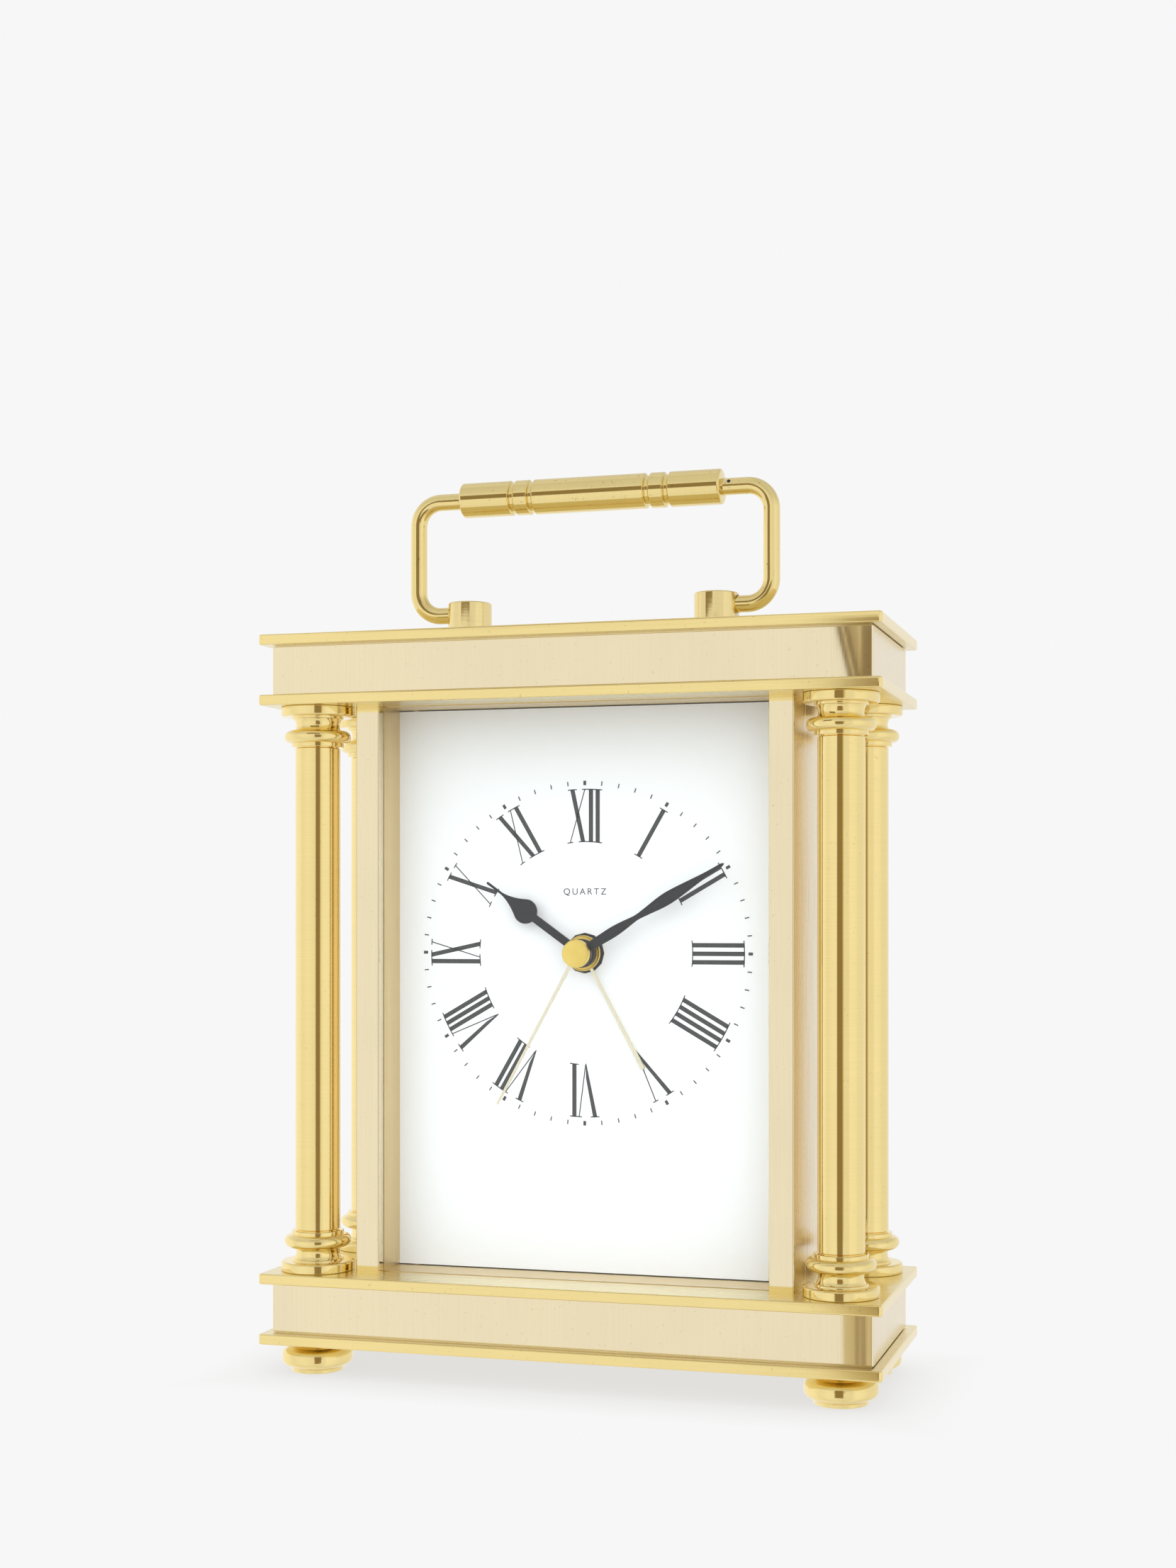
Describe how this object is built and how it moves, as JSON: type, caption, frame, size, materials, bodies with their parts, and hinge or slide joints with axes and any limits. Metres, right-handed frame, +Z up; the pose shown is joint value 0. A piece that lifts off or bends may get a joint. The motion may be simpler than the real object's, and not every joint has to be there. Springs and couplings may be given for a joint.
{
  "type": "mantel clock",
  "caption": "Brass mantel clock: a flat glazed case between stepped plates and round columns, with a folding bar handle, Roman dial and battery alarm movement.",
  "frame": {"origin": "on the ground, under the middle of the base", "axes": "+Z up, the dial faces -Y, +X to the right as the dial is read"},
  "size_m": [0.12, 0.0424, 0.1724],
  "materials": {
    "brass_polished": "polished and lacquered, pale gold",
    "brass_satin": "fine satin, lacquered",
    "pale_gold": "pale gold plating",
    "glass": "clear flat pane",
    "dial_white": "smooth matt white enamel with dark grey print",
    "hand_black": "semi-matt black paint",
    "black_plastic": "fine spark-eroded texture",
    "wheel_plastic": "smooth moulded acetal",
    "steel": "bright plated sheet and turned steel",
    "copper": "enamelled copper winding",
    "board_green": "solder resist on board",
    "cell_jacket": "printed foil jacket with bright ends"
  },
  "bodies": {
    "case": {"foot_front_left": "brass_polished", "column_base_front_left": "brass_polished", "column_shaft_front_left": "brass_polished", "column_capital_front_left": "brass_polished", "foot_front_right": "brass_polished", "column_base_front_right": "brass_polished", "column_shaft_front_right": "brass_polished", "column_capital_front_right": "brass_polished", "foot_rear_left": "brass_polished", "column_base_rear_left": "brass_polished", "column_shaft_rear_left": "brass_polished", "column_capital_rear_left": "brass_polished", "foot_rear_right": "brass_polished", "column_base_rear_right": "brass_polished", "column_shaft_rear_right": "brass_polished", "column_capital_rear_right": "brass_polished", "base_bottom_plate": "brass_polished", "base_top_plate": "brass_polished", "cornice_lower_plate": "brass_polished", "top_plate": "brass_polished", "base_plinth": "brass_satin", "cornice_block": "brass_satin", "front_stile_left": "brass_satin", "front_stile_right": "brass_satin", "side_panel_left": "brass_satin", "side_panel_right": "brass_satin", "rear_panel": "brass_satin", "front_glass": "glass", "dial_plate": "dial_white", "handle_post_left": "brass_polished", "handle_post_right": "brass_polished", "movement_housing": "black_plastic", "movement_cover": "black_plastic", "sounder": "black_plastic", "train_plate": "wheel_plastic", "stator": "steel", "contact_positive": "steel", "contact_negative": "steel", "coil": "copper", "circuit_board": "board_green"},
    "handle": {"handle_arm_left": "brass_polished", "handle_arm_right": "brass_polished", "handle_grip": "brass_polished"},
    "second_train": {"second_wheel": "wheel_plastic", "second_hand": "pale_gold"},
    "third_train": {"third_wheel": "wheel_plastic"},
    "centre_train": {"centre_wheel": "wheel_plastic"},
    "step_train": {"step_wheel": "wheel_plastic"},
    "motor_rotor": {"rotor": "steel"},
    "minute_works": {"cannon_pinion": "steel", "minute_hand": "hand_black"},
    "motion_works": {"motion_wheel": "wheel_plastic"},
    "hour_works": {"hour_wheel": "wheel_plastic", "hour_hand": "hand_black"},
    "time_knob": {"time_set_knob": "black_plastic"},
    "alarm_works": {"alarm_wheel": "wheel_plastic", "alarm_hand": "pale_gold"},
    "alarm_knob": {"alarm_set_knob": "black_plastic"},
    "switch": {"alarm_switch": "black_plastic"},
    "cell": {"battery": "cell_jacket"}
  },
  "joints": [
    {"name": "handle_fold", "type": "hinge", "parent": "case", "child": "handle", "pos_m": [0, 0, 0.1466], "axis": [1, 0, 0], "range_deg": [-93, 93]},
    {"name": "second_spin", "type": "hinge", "parent": "case", "child": "second_train", "pos_m": [0, 0, 0.0805], "axis": [0, 1, 0], "continuous": true},
    {"name": "third_spin", "type": "hinge", "parent": "case", "child": "third_train", "pos_m": [0, 0, 0.0907], "axis": [0, 1, 0], "continuous": true},
    {"name": "centre_wheel_spin", "type": "hinge", "parent": "case", "child": "centre_train", "pos_m": [0, 0, 0.0805], "axis": [0, 1, 0], "continuous": true},
    {"name": "step_wheel_spin", "type": "hinge", "parent": "case", "child": "step_train", "pos_m": [0, 0, 0.0895], "axis": [0, 1, 0], "continuous": true},
    {"name": "rotor_spin", "type": "hinge", "parent": "case", "child": "motor_rotor", "pos_m": [-0.00789, 0, 0.09237], "axis": [0, 1, 0], "continuous": true},
    {"name": "minute_spin", "type": "hinge", "parent": "case", "child": "minute_works", "pos_m": [0, 0, 0.0805], "axis": [0, 1, 0], "continuous": true},
    {"name": "motion_spin", "type": "hinge", "parent": "case", "child": "motion_works", "pos_m": [0.009, 0, 0.0805], "axis": [0, 1, 0], "continuous": true},
    {"name": "hour_spin", "type": "hinge", "parent": "case", "child": "hour_works", "pos_m": [0, 0, 0.0805], "axis": [0, 1, 0], "continuous": true},
    {"name": "time_set_spin", "type": "hinge", "parent": "case", "child": "time_knob", "pos_m": [0.01845, 0, 0.0805], "axis": [0, 1, 0], "continuous": true},
    {"name": "alarm_spin", "type": "hinge", "parent": "case", "child": "alarm_works", "pos_m": [0, 0, 0.0805], "axis": [0, 1, 0], "continuous": true},
    {"name": "alarm_set_spin", "type": "hinge", "parent": "case", "child": "alarm_knob", "pos_m": [-0.0108, 0, 0.0805], "axis": [0, 1, 0], "continuous": true},
    {"name": "alarm_switch_slide", "type": "slide", "parent": "case", "child": "switch", "axis": [1, 0, 0], "range_m": [0, 0.004]},
    {"name": "battery_slide", "type": "slide", "parent": "case", "child": "cell", "axis": [0, 1, 0], "range_m": [0, 0.03]}
  ],
  "couplings": [
    {"joint": "third_spin", "follows": "second_spin", "ratio": -0.13333},
    {"joint": "centre_wheel_spin", "follows": "second_spin", "ratio": 0.016667},
    {"joint": "step_wheel_spin", "follows": "second_spin", "ratio": -5},
    {"joint": "rotor_spin", "follows": "second_spin", "ratio": 30},
    {"joint": "motion_spin", "follows": "minute_spin", "ratio": -0.33333},
    {"joint": "hour_spin", "follows": "minute_spin", "ratio": 0.083333},
    {"joint": "time_set_spin", "follows": "minute_spin", "ratio": 0.83333},
    {"joint": "alarm_set_spin", "follows": "alarm_spin", "ratio": -1.6667}
  ]
}
